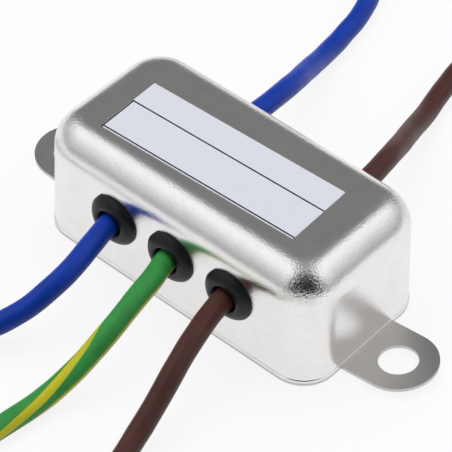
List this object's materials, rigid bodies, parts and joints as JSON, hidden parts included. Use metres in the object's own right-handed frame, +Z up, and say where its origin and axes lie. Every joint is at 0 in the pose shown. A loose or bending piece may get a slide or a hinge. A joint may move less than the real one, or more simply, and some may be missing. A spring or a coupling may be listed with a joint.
{
  "type": "emi line filter",
  "caption": "Mains interference filter in a drawn metal can on a base plate with two mounting ears; insulated wire leads pass through rubber grommets on both long sides.",
  "frame": {"origin": "centre of the base plate's underside, on the surface that it is fixed to", "axes": "+X along the can's length, through both mounting ears; +Y from the supply side with three leads to the load side with two; +Z up, out of the mounting surface"},
  "size_m": [0.1015, 0.1349, 0.0194],
  "materials": {
    "can_plating": "satin",
    "base_plating": "satin",
    "label_film": "satin",
    "grommet_rubber": "satin",
    "brown_pvc": "satin",
    "blue_pvc": "satin",
    "green_yellow_pvc": "satin",
    "tinned_wire": "satin",
    "copper": "satin",
    "tray_nylon": "matte",
    "board_laminate": "satin",
    "ferrite": "matte",
    "enamelled_copper": "gloss",
    "capacitor_case": "satin",
    "disc_epoxy": "satin",
    "resistor_coat": "satin",
    "solder": "satin"
  },
  "bodies": {
    "root": {"drawn_can": "can_plating", "base_plate": "base_plating", "label": "label_film", "grommet_line_in": "grommet_rubber", "grommet_neutral_in": "grommet_rubber", "grommet_earth": "grommet_rubber", "grommet_line_out": "grommet_rubber", "grommet_neutral_out": "grommet_rubber", "lead_line_in": "brown_pvc", "lead_neutral_in": "blue_pvc", "lead_earth": "green_yellow_pvc", "lead_line_out": "brown_pvc", "lead_neutral_out": "blue_pvc", "lead_tip_line_in": "tinned_wire", "lead_tip_neutral_in": "tinned_wire", "lead_tip_earth": "tinned_wire", "lead_tip_line_out": "tinned_wire", "lead_tip_neutral_out": "tinned_wire", "core_line_in": "copper", "core_neutral_in": "copper", "core_earth": "copper", "core_line_out": "copper", "core_neutral_out": "copper", "insulating_tray": "tray_nylon", "circuit_board": "board_laminate", "earth_tag": "tinned_wire", "choke_ring": "ferrite", "choke_winding_line": "enamelled_copper", "choke_winding_neutral": "enamelled_copper", "choke_divider": "tray_nylon", "x_capacitor_in": "capacitor_case", "x_capacitor_out": "capacitor_case", "x_capacitor_pins": "tinned_wire", "y_capacitor_line": "disc_epoxy", "y_capacitor_neutral": "disc_epoxy", "y_capacitor_pins": "tinned_wire", "bleed_resistor": "resistor_coat", "resistor_wires": "tinned_wire", "solder_joints": "solder"}
  },
  "joints": []
}
